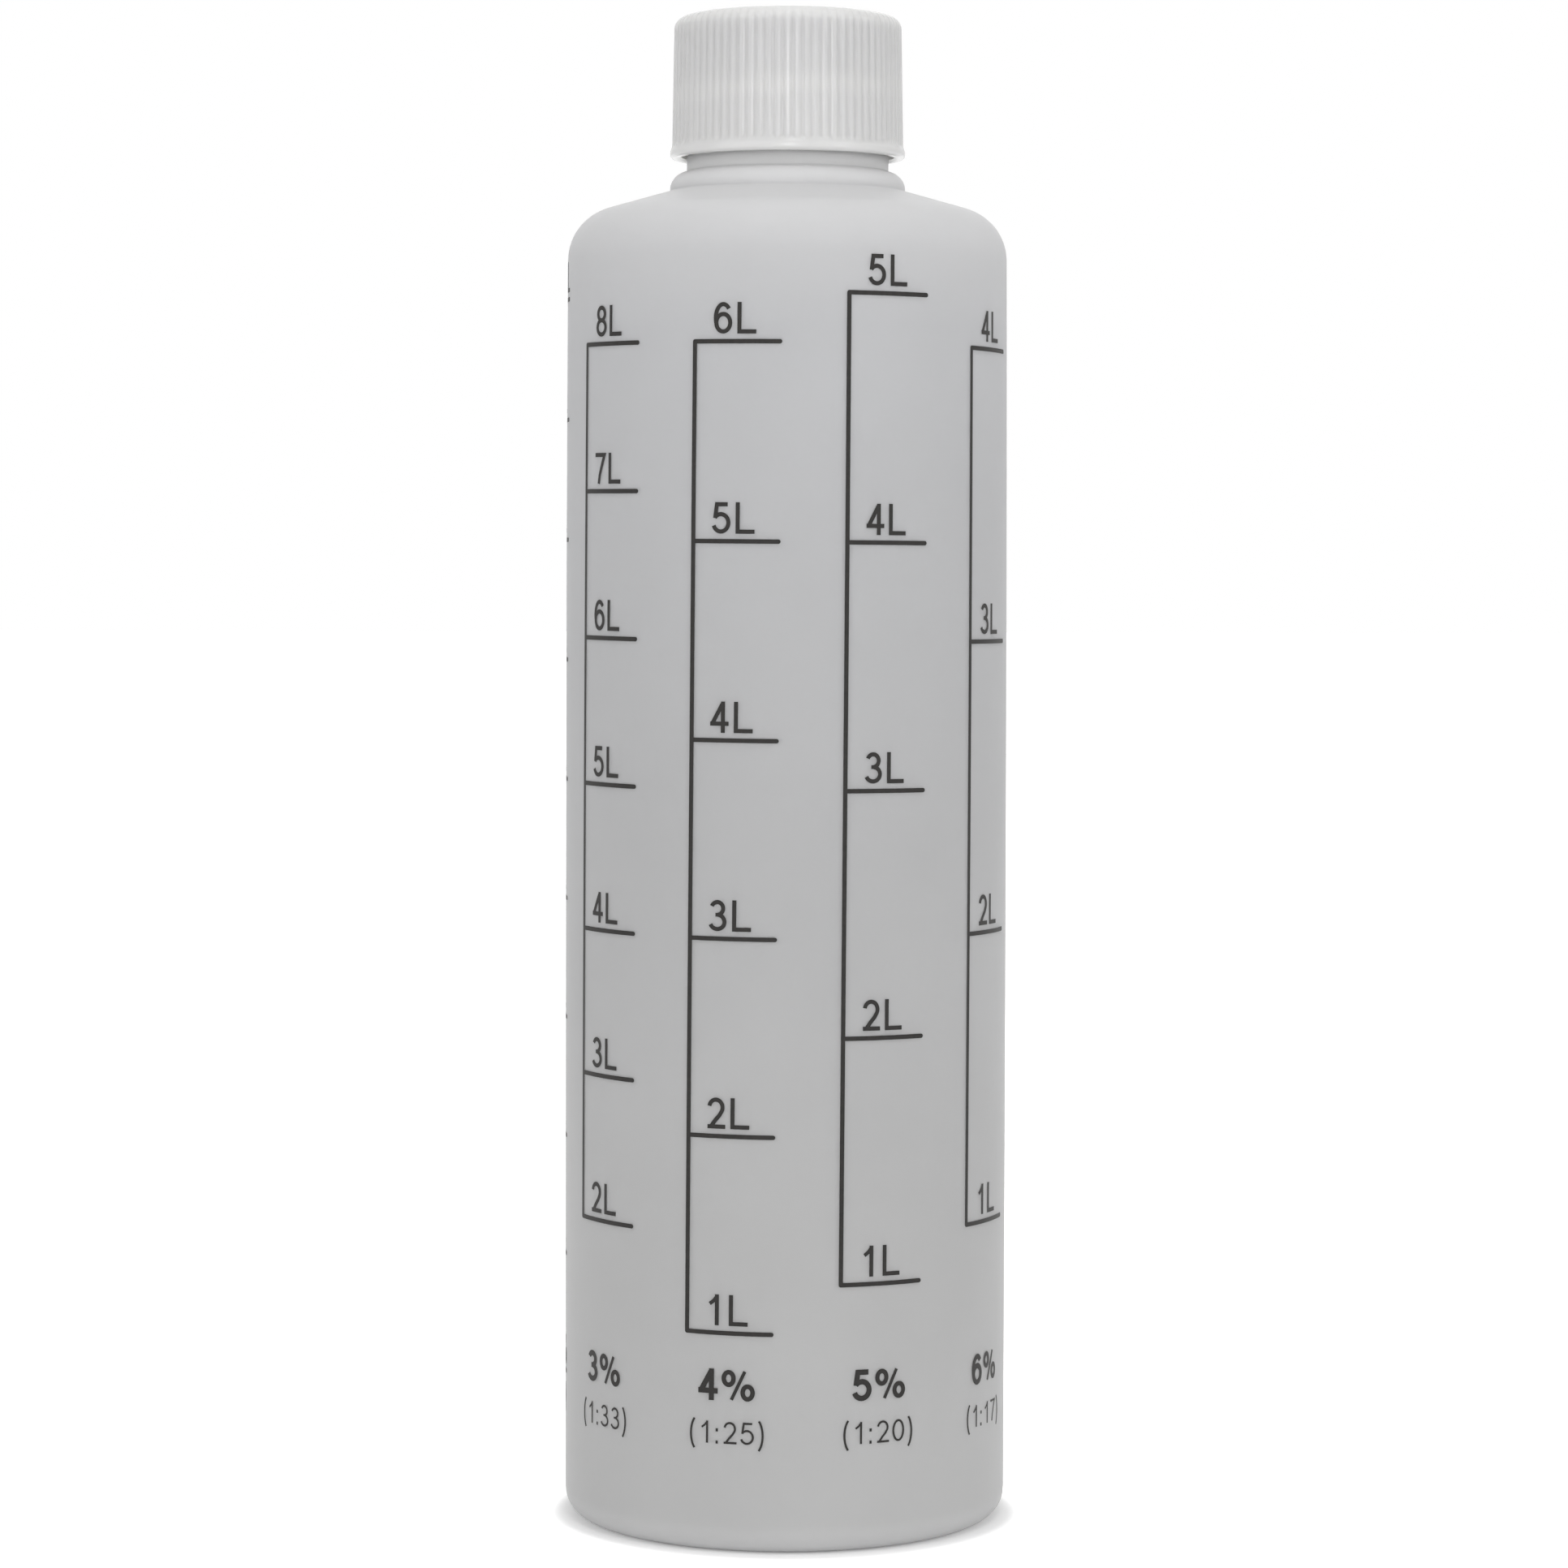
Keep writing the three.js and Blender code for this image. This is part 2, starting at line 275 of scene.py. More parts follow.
shoulder_radius = BODY_RADIUS - BODY_DRAW
shoulder_centre = shoulder_radius - SHOULDER_ROUND
cone_radius = shoulder_centre + SHOULDER_ROUND * math.sin(SHOULDER_SLOPE)
cone_start = BODY_HEIGHT + SHOULDER_ROUND * math.cos(SHOULDER_SLOPE)
bore_radius = FINISH_RADIUS - FINISH_WALL
land_radius = FINISH_RADIUS + LAND_STAND
collar_radius = land_radius + COLLAR_STAND
collar_top = RIM - FINISH_HEIGHT
ring_inner = BODY_RADIUS - BASE_CORNER - STANDING_RING
thread_mean = THREAD_CREST + THREAD_DEPTH * math.tan(THREAD_FLANK)
thread_foot = 2 * thread_mean - THREAD_CREST
thread_start = RIM - THREAD_DROP - thread_foot / 2 - THREAD_PITCH * THREAD_TURNS
cap_bore = FINISH_RADIUS + THREAD_DEPTH + CREST_CLEARANCE
cap_under_top = CAP_TOP - CAP_TOP_WALL
skirt_top = CAP_TOP - CAP_EDGE_ROUND
bead_top = SKIRT_END + BEAD_HEIGHT + BEAD_SLOPE


def cone_level(radius):
    return cone_start + (cone_radius - radius) * math.tan(SHOULDER_SLOPE)


def body_radius_at(height):
    return BODY_RADIUS - BODY_DRAW * (np.clip(height, 0, BODY_HEIGHT) / BODY_HEIGHT) ** 3


def base_level(radius):
    return PUSH_UP * (1 - (radius / ring_inner) ** 2)


# Bottle

def bottle_outline():
    slope = math.degrees(SHOULDER_SLOPE)
    base = [(r, base_level(r)) for r in np.linspace(0, ring_inner, 30)]
    corner = arc(BODY_RADIUS - BASE_CORNER, BASE_CORNER, BASE_CORNER, -90, 0, 12)
    wall_levels = np.arange(BASE_CORNER + 2, BODY_HEIGHT - 0.5, 2.0)
    wall = [(body_radius_at(z), z) for z in wall_levels]
    shoulder = arc(shoulder_centre, BODY_HEIGHT, SHOULDER_ROUND, 0, 90 - slope, 22)
    fillet_x = collar_radius + COLLAR_FILLET
    fillet_z = cone_level(fillet_x) + COLLAR_FILLET / math.cos(SHOULDER_SLOPE)
    cone = straight(shoulder[-1], (fillet_x, cone_level(fillet_x)), 0.7)[1:]
    fillet = arc(fillet_x, fillet_z, COLLAR_FILLET, -90 - slope, -180, 6)
    collar_round = min(COLLAR_STAND, COLLAR_HEIGHT - COLLAR_FILLET)
    collar = arc(collar_radius - collar_round, collar_top - collar_round, collar_round, 0, 86, 12)
    land_top = collar_top + LAND_HEIGHT
    finish_start = (FINISH_RADIUS, land_top + LAND_STAND + 0.1)
    # The land's corners are eased by about a tenth of a millimetre.
    land = [
        (land_radius + 0.12, collar_top + 0.02),
        (land_radius, collar_top + 0.14),
        (land_radius, land_top - 0.1),
        (land_radius - 0.06, land_top + 0.04),
        (FINISH_RADIUS + 0.08, land_top + LAND_STAND - 0.08),
        finish_start,
    ]
    outer = base + corner + wall + shoulder + cone + fillet + collar + land
    outer += straight(finish_start, (FINISH_RADIUS, RIM - 0.45), 0.14)[1:]
    outer += arc(FINISH_RADIUS - RIM_ROUND, RIM - RIM_ROUND, RIM_ROUND, 0, 90, 4)
    flare_x = bore_radius + BORE_FLARE
    flare_z = cone_level(flare_x) + (BORE_FLARE - BODY_WALL) / math.cos(SHOULDER_SLOPE)
    inner_round = BASE_CORNER - BODY_WALL
    inner = arc(bore_radius + RIM_ROUND, RIM - RIM_ROUND, RIM_ROUND, 90, 180, 4)
    inner += straight((bore_radius, RIM - 1), (bore_radius, flare_z + 1), 3)
    inner += arc(flare_x, flare_z, BORE_FLARE, 180, 270 - slope, 8)
    inner += arc(shoulder_centre, BODY_HEIGHT, SHOULDER_ROUND - BODY_WALL, 90 - slope, 0, 12)
    inner += [(body_radius_at(z) - BODY_WALL, z) for z in np.arange(BODY_HEIGHT - 6, 10, -7.0)]
    inner_corner = BODY_RADIUS - BODY_WALL - inner_round
    inner += arc(inner_corner, BASE_WALL + inner_round, inner_round, 0, -90, 6)
    inner += [(r, base_level(r) + BASE_WALL) for r in np.linspace(ring_inner, 0, 12)]
    return [(r, z, "outside") for r, z in outer] + [(r, z, "inside") for r, z in inner]


def bottle_relief(radius, height, around, tags):
    """The neck's thread, and the fine seam that the mould's two halves leave at +X and -X."""
    outside = tags == "outside"
    from_x = around - math.pi / 2
    thread = ridge(
        height, from_x, THREAD_DEPTH, THREAD_CREST, THREAD_TURNS, THREAD_FIRST, thread_start)
    on_finish = outside & (height > collar_top + LAND_HEIGHT)
    side = np.minimum(np.mod(from_x, math.pi), math.pi - np.mod(from_x, math.pi)) * radius
    seam = SEAM_HEIGHT * np.exp(-(side / SEAM_WIDTH) ** 2)
    on_wall = outside & (height > 0.3) & (radius > ring_inner + 1) | outside & (height > 20)
    return np.where(on_finish, thread, 0) + np.where(on_wall, seam, 0)


def bottle_angles():
    """Even steps, with finer ones across the two seams."""
    even = np.arange(0, BODY_COLUMNS) * TURN / BODY_COLUMNS
    fine = np.radians(SEAM_COLUMNS)
    return np.sort(np.concatenate([even, math.pi / 2 + fine, 3 * math.pi / 2 + fine]))


def weld_line():
    """The ridge across the hollow of the base, where the mould pinched the plastic shut."""
    reach = ring_inner - WELD_INSET
    stations = np.linspace(-1, 1, 41)
    profile = [
        (-0.5, 0.3), (-0.42, -0.02), (-0.2, -1), (0, -1.08), (0.2, -1), (0.42, -0.02), (0.5, 0.3)]
    points, faces = [], []
    for station in stations:
        x = station * reach
        fade = smoothstep((1 - abs(station)) / 0.1)
        stand = WELD_DEPTH * fade * (1 + 0.06 * math.sin(9 * station))
        for y, z in profile:
            points.append((x, y * WELD_WIDTH, base_level(abs(x)) + (z * stand if z < 0 else z)))
    size = len(profile)
    for row in range(len(stations) - 1):
        for k in range(size):
            a, b = row * size + k, row * size + (k + 1) % size
            faces.append((a, a + size, b + size, b))
    faces.append(tuple(range(size)))
    faces.append(tuple(reversed(range(len(points) - size, len(points)))))
    return mesh_from("base_weld_line", points, faces)


# Screw cap

def skirt_radius_at(height):
    below_top = (skirt_top - height) / (skirt_top - bead_top)
    return cap_bore + CAP_WALL - CAP_INSET + CAP_DRAFT * below_top


def cap_outline():
    edge_centre = skirt_radius_at(skirt_top) - CAP_EDGE_ROUND
    bead_radius = skirt_radius_at(bead_top) + BEAD_STAND
    slope_start = SKIRT_END + BEAD_HEIGHT
    hollow = [(0, cap_under_top), (3, cap_under_top), (7, cap_under_top)]
    hollow += arc(cap_bore - 0.25, cap_under_top - 0.25, 0.25, 90, 0, 3)
    hollow += straight((cap_bore, cap_under_top - 0.5), (cap_bore, SKIRT_END + 4.5), 0.16)
    hollow += [(cap_bore, SKIRT_END + 3), (cap_bore, SKIRT_END + SKIRT_LEAD_IN + 0.2)]
    lead = [
        (cap_bore + 0.05, SKIRT_END + SKIRT_LEAD_IN - 0.05),
        (cap_bore + SKIRT_LEAD_IN, SKIRT_END + 0.05),
        (cap_bore + SKIRT_LEAD_IN + 0.08, SKIRT_END),
    ]
    bead = arc(bead_radius - BEAD_ROUND, SKIRT_END + BEAD_ROUND, BEAD_ROUND, -90, 0, 10)
    bead += [(bead_radius, slope_start - 0.3)]
    steps = np.linspace(0, 1, 9)
    slope = [
        (bead_radius - BEAD_STAND * smoothstep(s), slope_start - 0.1 + BEAD_SLOPE * s) for s in steps]
    skirt = [(skirt_radius_at(z), z) for z in np.linspace(bead_top + 0.3, skirt_top, 6)]
    edge = arc(edge_centre, skirt_top, CAP_EDGE_ROUND, 0, 90, 12)[1:]
    top = [(r, CAP_TOP) for r in (11, 8, 5, 3, 2)]
    # The dimple that the gate leaves in the middle of the top
    gate = [(1.5, CAP_TOP), (1.35, CAP_TOP - 0.06), (1.1, CAP_TOP - 0.22), (0.6, CAP_TOP - 0.25)]
    gate += [(0.5, CAP_TOP - 0.12), (0.35, CAP_TOP - 0.1), (0, CAP_TOP - 0.1)]
    outer = [(r, z, "outside") for r, z in bead + slope + skirt + edge + top + gate]
    return [(r, z, "inside") for r, z in hollow + lead] + outer


def cap_relief(radius, height, around, tags):
    """Ribs outside, which run down into the bead's slope and fade over the top edge, and the ridge
    of the inner thread."""
    outside = tags == "outside"
    phase = np.mod(around * RIB_COUNT / TURN + 0.5, 1) - 0.5
    across = np.abs(phase) * TURN * skirt_radius_at(skirt_top) / RIB_COUNT
    rib = RIB_DEPTH * (1 - smoothstep((across - RIB_CREST / 2) / RIB_FLANK))
    slope_start = SKIRT_END + BEAD_HEIGHT - 0.1
    low = smoothstep((height - slope_start - 0.35 * BEAD_SLOPE) / (0.6 * BEAD_SLOPE))
    over_edge = np.sqrt(np.clip(1 - ((height - skirt_top) / CAP_EDGE_ROUND) ** 2, 0, 1))
    high = np.where(height > skirt_top, over_edge, 1)
    on_skirt = outside & (radius > skirt_radius_at(skirt_top) - CAP_EDGE_ROUND - 0.01)
    mean = THREAD_PITCH - thread_mean - FLANK_CLEARANCE - FLANK_PLAY
    depth = cap_bore - FINISH_RADIUS - CREST_CLEARANCE
    travelled = THREAD_TURNS * TURN - CAP_THREAD_LEAD - CAP_THREAD_TURNS * TURN
    drop = thread_mean / 2 + FLANK_CLEARANCE + mean / 2
    crest = mean - depth * math.tan(THREAD_FLANK)
    first_height = thread_start + THREAD_PITCH * travelled / TURN - drop
    thread = ridge(
        height, around - math.pi / 2, depth, crest, CAP_THREAD_TURNS, THREAD_FIRST + travelled,
        first_height)
    on_bore = (tags == "inside") & (radius > cap_bore - 0.01)
    return np.where(on_skirt, rib * low * high, 0) - np.where(on_bore, thread, 0)


def liner_outline():
    """The disc, dented below where it sits on the rim."""
    low, high = LINER_LOW[2], LINER_HIGH[2]
    dented = low + LINER_DENT
    under = [
        (0, low), (4, low), (bore_radius - 0.3, low), (bore_radius, low + 0.02),
        (bore_radius + 0.3, dented), (FINISH_RADIUS - 0.3, dented), (FINISH_RADIUS, low + 0.02),
        (FINISH_RADIUS + 0.3, low),
    ]
    edge_centre = LINER_HIGH[0] - LINER_INSET - LINER_EDGE
    edge = arc(edge_centre, low + LINER_EDGE, LINER_EDGE, -90, 0, 4)
    edge += arc(edge_centre, high - LINER_EDGE, LINER_EDGE, 0, 90, 4)
    return under + edge + [(6, high), (0, high)]


def no_relief(radius, height, around, tags):
    return 0 * radius * around


# Print: shapes are lists of quads in millimetres, joined, given a thickness and wrapped on the wall

def ribbon(points, width, closed=False, extend=False):
    """Quads along a line of points, mitred at its corners. At corners as sharp as those of a 4 they
    would cross, so its sides are strokes of their own."""
    line = [np.array(p, dtype=float) for p in points]
    if closed:
        line.append(line[0])
    stretches = [straight(a, b, INK_STEP) for a, b in zip(line, line[1:])]
    ends = [] if closed else [line[-1]]
    line = [np.array(p) for p in sum(stretches, []) + ends]
    if extend:
        first, last = line[0] - line[1], line[-1] - line[-2]
        line[0] = line[0] + first / np.linalg.norm(first) * width / 2
        line[-1] = line[-1] + last / np.linalg.norm(last) * width / 2
    count = len(line)
    left, right = [], []
    for i, here in enumerate(line):
        before = line[i - 1] if closed or i else None
        after = line[(i + 1) % count] if closed or i + 1 < count else None
        ways = []
        if before is not None:
            ways.append((here - before) / np.linalg.norm(here - before))
        if after is not None:
            ways.append((after - here) / np.linalg.norm(after - here))
        way = sum(ways) / np.linalg.norm(sum(ways))
        normal = np.array([-way[1], way[0]])
        spread = width / 2 / max(0.45, float(np.dot(way, ways[0])))
        left.append(here + normal * spread)
        right.append(here - normal * spread)
    spans = range(count if closed else count - 1)
    return [[right[i], right[(i + 1) % count], left[(i + 1) % count], left[i]] for i in spans]


def oval(x, y, rx, ry, start, end, steps=22):
    angles = np.radians(np.linspace(start, end, steps + 1))
    return [(x + rx * math.cos(a), y + ry * math.sin(a)) for a in angles]


def ring(x, y, rx, ry):
    return oval(x, y, rx, ry, 0, 360, 32)[:-1]


# Each stroke is its middle line in a unit box, whether it closes, whether its ends are cut square
# at the edge of the box, and its weight beside the letter's stroke.
GLYPHS = {
    "0": [(ring(0.5, 0.5, 0.5, 0.5), True, False, 1)],
    "1": [([(0.66, 1), (0.66, 0)], False, True, 1),
          ([(0.62, 0.97), (0.44, 0.84), (0.16, 0.72)], False, False, 0.9)],
    "2": [(oval(0.48, 0.71, 0.46, 0.29, 170, -28) + [(0.74, 0.43), (0.42, 0.22), (0.14, 0)],
           False, False, 1),
          ([(0.04, 0), (1, 0)], False, True, 1)],
    "3": [(oval(0.47, 0.765, 0.4, 0.235, 160, -84), False, False, 1),
          (oval(0.47, 0.265, 0.5, 0.265, 86, -160), False, False, 1),
          ([(0.34, 0.53), (0.56, 0.53)], False, False, 0.9)],
    "4": [([(0.7, 0.99), (0.04, 0.29)], False, False, 1), ([(0, 0.26), (1, 0.26)], False, True, 1),
          ([(0.74, 1), (0.74, 0)], False, True, 1)],
    "5": [([(0.94, 1), (0.2, 1), (0.08, 0.49)], False, False, 1),
          (oval(0.48, 0.32, 0.52, 0.32, 144, -162), False, False, 1)],
    "6": [(ring(0.52, 0.32, 0.48, 0.32), True, False, 1),
          (oval(0.52, 0.5, 0.52, 0.5, 42, 200), False, False, 1)],
    "7": [([(0, 1), (1, 1), (0.62, 0.52), (0.42, 0.22), (0.34, 0)], False, True, 1)],
    "8": [(ring(0.5, 0.765, 0.42, 0.235), True, False, 1),
          (ring(0.5, 0.265, 0.5, 0.265), True, False, 1)],
    "9": [(ring(0.48, 0.68, 0.48, 0.32), True, False, 1),
          (oval(0.48, 0.5, 0.52, 0.5, -138, 20), False, False, 1)],
    "L": [([(0, 1), (0, 0), (1, 0)], False, True, 1)],
    "%": [(ring(0.17, 0.76, 0.17, 0.24), True, False, 0.85),
          (ring(0.83, 0.24, 0.17, 0.24), True, False, 0.85),
          ([(0.73, 1.05), (0.27, -0.05)], False, False, 0.62)],
    ":": [([(0.5, -0.01), (0.5, 0.03)], False, True, 1.1),
          ([(0.5, 0.6), (0.5, 0.64)], False, True, 1.1)],
    ".": [([(0.5, -0.01), (0.5, 0.03)], False, True, 1.1)],
    "(": [(oval(2.43, 0.4, 2.43, 0.92, 126, 234), False, False, 1)],
    ")": [(oval(-1.43, 0.4, 2.43, 0.92, 54, -54), False, False, 1)],
}
# Width and the gap that follows, beside a letter's height
SPACING = {
    "%": (1.1, 0.14),
    ":": (0.13, 0.24),
    ".": (0.13, 0.16),
    "(": (0.27, 0.17),
    ")": (0.27, 0.17),
}
PLAIN_SPACING = (0.62, 0.17)


def word_width(text, height, plain=PLAIN_SPACING):
    sizes = [SPACING.get(letter, plain) for letter in text]
    return height * (sum(width + gap for width, gap in sizes) - sizes[-1][1])


def word(text, x, y, height, stroke, plain=PLAIN_SPACING):
    """Each letter's quads, with the word's left edge at x and its foot at y."""
    letters = []
    for letter in text:
        width, gap = (size * height for size in SPACING.get(letter, plain))
        quads = []
        for line, closed, extend, weight in GLYPHS[letter]:
            placed = [
                (x + stroke / 2 + u * (width - stroke), y + stroke / 2 + v * (height - stroke))
                for u, v in line]
            quads += ribbon(placed, stroke * weight, closed, extend)
        letters.append(quads)
        x += width + gap
    return letters


def rounded_line(start, end, width, step=0.8):
    """A line of small quads with a round end at each end."""
    points = straight(start, end, step) + [end]
    quads = ribbon(points, width)
    for middle in (start, end):
        quads.append([np.array(p) for p in ring(middle[0], middle[1], width / 2, width / 2)[::2]])
    return quads


def scale_level(litres, ml_per_litre):
    return PRINT_FOOT + PRINT_PER_ML * litres * ml_per_litre


def dosing_scale(line, ml_per_litre, litres):
    """The upright line, with a tick and its label for each count of litres."""
    levels = [scale_level(count, ml_per_litre) for count in litres]
    comb = rounded_line((line, min(levels)), (line, max(levels)), LINE_WIDTH, 3.0)
    shapes = []
    for count, level in zip(litres, levels):
        comb += rounded_line((line, level), (line + TICK_LENGTH, level), LINE_WIDTH)
        start = line + LABEL_START
        shapes += word(f"{count}L", start, level + LABEL_LIFT, LABEL_HEIGHT, LABEL_STROKE)
    return [comb] + shapes


def foot_words(line, percent, ratio):
    middle = line + FOOT_MIDDLE
    share = word_width(percent, PERCENT_HEIGHT, PERCENT_SPACING) / 2
    parts = word_width(ratio, RATIO_HEIGHT) / 2
    words = word(
        percent, middle - share, PERCENT_BASE, PERCENT_HEIGHT, PERCENT_STROKE, PERCENT_SPACING)
    return words + word(ratio, middle - parts, RATIO_BASE, RATIO_HEIGHT, RATIO_STROKE)


def joined(quads):
    """One flat mesh of triangles over a set of overlapping quads."""
    points, faces = [], []
    for quad in quads:
        faces.append(list(range(len(points), len(points) + len(quad))))
        points += [Vector(corner) for corner in quad]
    verts, _, triangles, _, _, sources = delaunay_2d_cdt(points, [], faces, 0, 1e-5)
    kept = [tuple(tri) for tri, source in zip(triangles, sources) if source]
    return np.array([tuple(v) for v in verts]), kept


def on_wall(flat, stand):
    """Points of the flat print, turned a little as it is printed, wrapped on the bottle's wall."""
    across, up = flat[:, 0], flat[:, 1]
    angle = (across + PRINT_TILT * (up - PRINT_PIVOT)) / PRINT_RADIUS
    height = up - PRINT_TILT * across
    radius = body_radius_at(height) + stand
    return np.stack([radius * np.sin(angle), -radius * np.cos(angle), height], axis=-1)


def printed(name, shapes):
    """Ink with a small thickness, closed on all sides."""
    points, faces = [], []
    for quads in shapes:
        flat, triangles = joined(quads)
        first = len(points)
        count = len(flat)
        points += on_wall(flat, INK_STAND).tolist() + on_wall(flat, -INK_SINK).tolist()
        edges = {}
        for a, b, c in triangles:
            (ax, ay), (bx, by), (cx, cy) = flat[a], flat[b], flat[c]
            if (bx - ax) * (cy - ay) - (by - ay) * (cx - ax) < 0:
                b, c = c, b
            faces.append((first + a, first + b, first + c))
            faces.append((first + count + a, first + count + c, first + count + b))
            for edge in ((a, b), (b, c), (c, a)):
                edges[edge] = True
        for a, b in edges:
            if (b, a) not in edges:
                faces.append((first + b, first + a, first + count + a, first + count + b))
    used = sorted(set(index for face in faces for index in face))
    renumber = {old: new for new, old in enumerate(used)}
    kept = [points[index] for index in used]
    return mesh_from(name, kept, [tuple(renumber[index] for index in face) for face in faces])


# Materials

def new_material(name):
    material = bpy.data.materials.new(name)
    material.use_nodes = True
    nodes = material.node_tree.nodes
    return material, nodes, material.node_tree.links, nodes["Principled BSDF"]


def set_sockets(owner, **values):
    """The sockets' names are given with _ for each space."""
    for key, value in values.items():
        owner.inputs[key.replace("_", " ")].default_value = value


def node(nodes, kind, **values):
    """A new node. Each value is for the node's own setting of that name, or else for a socket."""
    made = nodes.new(kind)
    for key, value in values.items():
        if hasattr(made, key):
            setattr(made, key, value)
        else:
            set_sockets(made, **{key: value})
    return made


def ramp(nodes, stops):
    made = nodes.new("ShaderNodeValToRGB")
    elements = made.color_ramp.elements
    while len(elements) < len(stops):
        elements.new(0.5)
    for element, (place, color) in zip(elements, stops):
        element.position = place
        element.color = (*color, 1)
    return made


def noise(nodes, links, coordinates, scale, detail=3, roughness=0.5):
    made = node(nodes, "ShaderNodeTexNoise", Scale=scale, Detail=detail, Roughness=roughness)
    links.new(coordinates, made.inputs["Vector"])
    return made


def bump(nodes, links, height, distance, strength, normal=None):
    made = node(nodes, "ShaderNodeBump", Distance=distance, Strength=strength)
    links.new(height, made.inputs["Height"])
    if normal:
        links.new(normal, made.inputs["Normal"])
    return made.outputs["Normal"]


def spread(nodes, links, value, low, high):
    """A value from 0 to 1, mapped to run from low to high."""
    made = node(nodes, "ShaderNodeMapRange", To_Min=low, To_Max=high)
    links.new(value, made.inputs["Value"])
    return made.outputs["Result"]


def milky_plastic():
    """Blown natural polyethylene: satin and milky, darkest at mid-height, palest on the land.
    The pale land and the paler base edge are painted light over the shade under the cap and by the
    floor.
    """
    material, nodes, links, shader = new_material("milky_polyethylene")
    place = node(nodes, "ShaderNodeTexCoord").outputs["Object"]
    split = node(nodes, "ShaderNodeSeparateXYZ")
    links.new(place, split.inputs["Vector"])
    level = node(nodes, "ShaderNodeMapRange", From_Max=float(RIM) * MM)
    links.new(split.outputs["Z"], level.inputs["Value"])
    # The share of the bottle's height, and the colour there
    tone = ramp(nodes, [
        # painted light: the first stops make the base's rounded edge paler, lifting the shade that
        # falls on it beside the floor
        (0.0, (0.63, 0.63, 0.635)),
        (0.006, (0.56, 0.56, 0.562)),
        (0.02, (0.505, 0.505, 0.505)),
        (0.2, (0.495, 0.495, 0.496)),
        (0.5, (0.485, 0.486, 0.492)),
        (0.8, (0.53, 0.533, 0.545)),
        (0.87, (0.605, 0.606, 0.614)),
        (0.905, (0.63, 0.63, 0.635)),
        # painted light: these two pale stops on the land between collar and cap lift the shade that
        # falls there under the cap
        (0.912, (0.71, 0.71, 0.712)),
        (0.922, (0.7, 0.7, 0.702)),
        (0.93, (0.6, 0.6, 0.605)),
    ])
    links.new(level.outputs["Result"], tone.inputs["Fac"])
    cloud = noise(nodes, links, place, 38, 4)
    cloudy = node(nodes, "ShaderNodeMix", data_type="RGBA", blend_type="MULTIPLY")
    cloudy.inputs["Factor"].default_value = 1.0
    shade = ramp(nodes, [(0.3, (0.97, 0.97, 0.97)), (0.7, (1.02, 1.02, 1.02))])
    links.new(cloud.outputs["Fac"], shade.inputs["Fac"])
    links.new(tone.outputs["Color"], cloudy.inputs["A"])
    links.new(shade.outputs["Color"], cloudy.inputs["B"])
    links.new(cloudy.outputs["Result"], shader.inputs["Base Color"])
    grain = noise(nodes, links, place, 900, 3)
    links.new(spread(nodes, links, grain.outputs["Fac"], 0.4, 0.5), shader.inputs["Roughness"])
    stretch = node(nodes, "ShaderNodeMapping", Scale=(1, 1, 0.25))
    links.new(place, stretch.inputs["Vector"])
    flow = noise(nodes, links, stretch.outputs["Vector"], 160, 4, 0.55)
    peel = noise(nodes, links, place, 1400, 2)
    normal = bump(nodes, links, flow.outputs["Fac"], 0.0004, 0.12)
    normal = bump(nodes, links, peel.outputs["Fac"], 0.00003, 0.3, normal)
    links.new(normal, shader.inputs["Normal"])
    set_sockets(
        shader, Subsurface_Weight=0.75, Subsurface_Radius=(1.0, 1.0, 1.0), Subsurface_Scale=0.003,
        IOR=1.5, Specular_IOR_Level=0.05)
    return material


def cap_plastic():
    """Moulded natural polypropylene: paler, a little warmer and glossier than the bottle."""
    material, nodes, links, shader = new_material("natural_polypropylene")
    place = node(nodes, "ShaderNodeTexCoord").outputs["Object"]
    cloud = noise(nodes, links, place, 60, 3)
    tone = ramp(nodes, [(0.25, (0.675, 0.672, 0.659)), (0.75, (0.71, 0.707, 0.695))])
    links.new(cloud.outputs["Fac"], tone.inputs["Fac"])
    links.new(tone.outputs["Color"], shader.inputs["Base Color"])
    grain = noise(nodes, links, place, 1100, 3)
    links.new(spread(nodes, links, grain.outputs["Fac"], 0.16, 0.24), shader.inputs["Roughness"])
    flow = noise(nodes, links, place, 420, 3)
    links.new(bump(nodes, links, flow.outputs["Fac"], 0.00006, 0.12), shader.inputs["Normal"])
    set_sockets(
        shader, Subsurface_Weight=1.0, Subsurface_Radius=(1.0, 1.0, 0.95), Subsurface_Scale=0.004,
        IOR=1.49, Specular_IOR_Level=0.3)
    return material


def liner_foam():
    """White closed-cell foam with a fine skin of cells."""
    material, nodes, links, shader = new_material("white_foam")
    place = node(nodes, "ShaderNodeTexCoord").outputs["Object"]
    cells = node(nodes, "ShaderNodeTexVoronoi", Scale=3200.0)
    links.new(place, cells.inputs["Vector"])
    cloud = noise(nodes, links, place, 300, 3)
    tone = ramp(nodes, [(0.2, (0.76, 0.75, 0.72)), (0.8, (0.84, 0.83, 0.8))])
    links.new(cloud.outputs["Fac"], tone.inputs["Fac"])
    links.new(tone.outputs["Color"], shader.inputs["Base Color"])
    links.new(bump(nodes, links, cells.outputs["Distance"], 0.0001, 0.5), shader.inputs["Normal"])
    set_sockets(shader, Roughness=0.85)
    return material


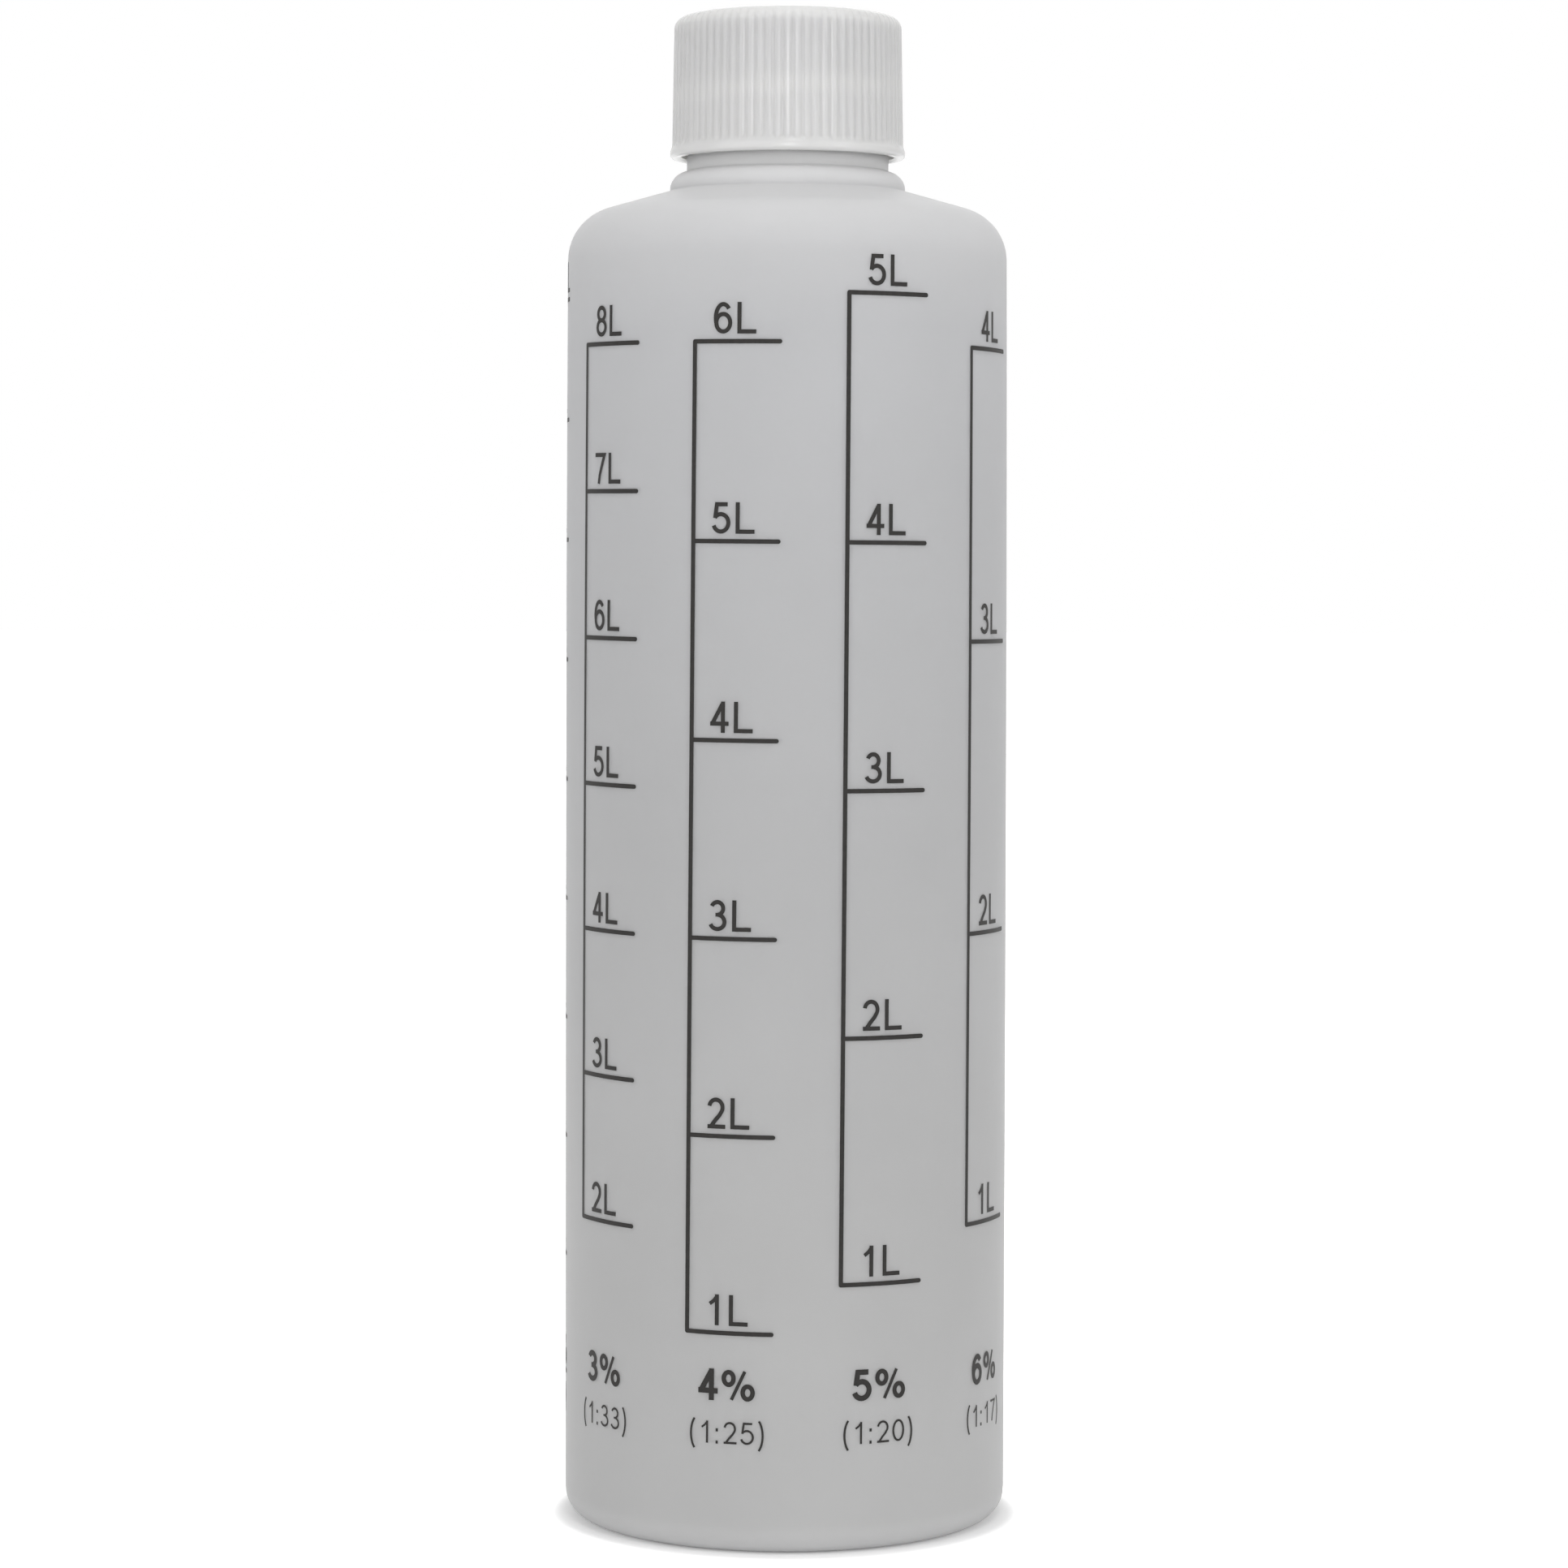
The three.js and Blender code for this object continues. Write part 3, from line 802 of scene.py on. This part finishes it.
def scale_ink():
    """Black screen ink: nearly even, with slightly thinner patches and a dull sheen."""
    material, nodes, links, shader = new_material("black_ink")
    place = node(nodes, "ShaderNodeTexCoord").outputs["Object"]
    patches = noise(nodes, links, place, 1500, 4, 0.6)
    tone = ramp(nodes, [(0.3, (0.016, 0.015, 0.014)), (0.75, (0.027, 0.025, 0.023))])
    links.new(patches.outputs["Fac"], tone.inputs["Fac"])
    links.new(tone.outputs["Color"], shader.inputs["Base Color"])
    links.new(spread(nodes, links, patches.outputs["Fac"], 0.45, 0.6), shader.inputs["Roughness"])
    links.new(bump(nodes, links, patches.outputs["Fac"], 0.00001, 0.4), shader.inputs["Normal"])
    set_sockets(shader, Specular_IOR_Level=0.2)
    return material


# Floor, world, lights and camera

def camera_white(nodes, links):
    """1 for rays that should see the plain white surroundings."""
    path = node(nodes, "ShaderNodeLightPath")
    mirrored = node(nodes, "ShaderNodeMath", operation="MAXIMUM")
    links.new(path.outputs["Is Glossy Ray"], mirrored.inputs[0])
    links.new(path.outputs["Is Transmission Ray"], mirrored.inputs[1])
    seen = node(nodes, "ShaderNodeMath", operation="MAXIMUM")
    links.new(path.outputs["Is Camera Ray"], seen.inputs[0])
    links.new(mirrored.outputs["Value"], seen.inputs[1])
    return seen.outputs["Value"]


def white_world():
    world = bpy.data.worlds.new("white_room")
    bpy.context.scene.world = world
    world.use_nodes = True
    nodes, links = world.node_tree.nodes, world.node_tree.links
    background = nodes["Background"]
    background.inputs["Color"].default_value = (1, 1, 1, 1)
    strength = spread(nodes, links, camera_white(nodes, links), WORLD_LEVEL, 1.0)
    links.new(strength, background.inputs["Strength"])


def floor():
    """A pale floor that keeps the bottle's shadow and is plain white to the camera further out."""
    mesh = bpy.data.meshes.new("floor")
    reach = FLOOR_REACH
    corners = [(-reach, -reach, 0), (reach, -reach, 0), (reach, reach, 0), (-reach, reach, 0)]
    mesh.from_pydata(corners, [], [(0, 1, 2, 3)])
    plane = bpy.data.objects.new("floor", mesh)
    bpy.context.scene.collection.objects.link(plane)
    material, nodes, links, shader = new_material("pale_floor")
    set_sockets(
        shader, Base_Color=(0.86, 0.86, 0.86, 1), Roughness=0.9, Specular_IOR_Level=0.0,
        Emission_Color=(1, 1, 1, 1))
    place = node(nodes, "ShaderNodeTexCoord").outputs["Object"]
    away = node(nodes, "ShaderNodeVectorMath", operation="LENGTH")
    links.new(place, away.inputs[0])
    near, far = FLOOR_FADE
    fade = node(
        nodes, "ShaderNodeMapRange", interpolation_type="SMOOTHSTEP", From_Min=near, From_Max=far,
        To_Min=FLOOR_GLOW, To_Max=1.0)
    links.new(away.outputs["Value"], fade.inputs["Value"])
    seen = node(nodes, "ShaderNodeMath", operation="MULTIPLY")
    links.new(fade.outputs["Result"], seen.inputs[0])
    links.new(camera_white(nodes, links), seen.inputs[1])
    links.new(seen.outputs["Value"], shader.inputs["Emission Strength"])
    mesh.materials.append(material)


def softbox(name, place, target, width, height, power):
    light = bpy.data.lights.new(name, "AREA")
    light.shape = "RECTANGLE"
    light.size, light.size_y = width, height
    light.energy = power
    lamp = bpy.data.objects.new(name, light)
    lamp.location = place
    lamp.rotation_euler = (Vector(target) - Vector(place)).to_track_quat("-Z", "Y").to_euler()
    bpy.context.scene.collection.objects.link(lamp)


def camera():
    data = bpy.data.cameras.new("camera")
    data.sensor_width = CAMERA_SENSOR
    data.lens = CAMERA_LENS
    data.clip_start = CAMERA_CLIP
    eye = bpy.data.objects.new("camera", data)
    eye.matrix_world = (
        Matrix.Translation(CAMERA_PLACE)
        @ Matrix.Rotation(CAMERA_YAW, 4, "Z")
        @ Matrix.Rotation(math.pi / 2 - CAMERA_DIP, 4, "X")
        @ Matrix.Rotation(CAMERA_ROLL, 4, "Z"))
    bpy.context.scene.collection.objects.link(eye)
    bpy.context.scene.camera = eye


def dress(piece, body, material):
    piece.data.materials.clear()
    piece.data.materials.append(material)
    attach(piece, body)


def build():
    milky, polypropylene, foam, ink = milky_plastic(), cap_plastic(), liner_foam(), scale_ink()
    camera()
    shell = turned("bottle_shell", bottle_outline(), bottle_angles(), bottle_relief)
    dress(shell, "bottle", milky)
    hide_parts("bottle")
    dress(weld_line(), "bottle", milky)
    cap_angles = np.arange(RIB_COUNT * RIB_SAMPLES) * TURN / (RIB_COUNT * RIB_SAMPLES)
    cap = turned("ribbed_cap", cap_outline(), cap_angles, cap_relief)
    dress(cap, "cap", polypropylene)
    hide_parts("screw_cap")
    liner_angles = np.arange(LINER_COLUMNS) * TURN / LINER_COLUMNS
    liner = turned("sealing_disc", liner_outline(), liner_angles, no_relief)
    dress(liner, "liner", foam)
    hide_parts("cap_liner")
    for place, (name, percent, ratio, per_litre, litres) in enumerate(SCALES):
        line = FIRST_LINE + place * SCALE_PITCH
        shapes = dosing_scale(line, per_litre, list(litres)) + foot_words(line, percent, ratio)
        dress(printed(f"printed_scale_{name}", shapes), "bottle", ink)
    white_world()
    floor()
    for light in LIGHTS:
        softbox(*light)


bpy.context.scene.view_settings.view_transform = "Standard"
build()
bpy.context.view_layer.update()
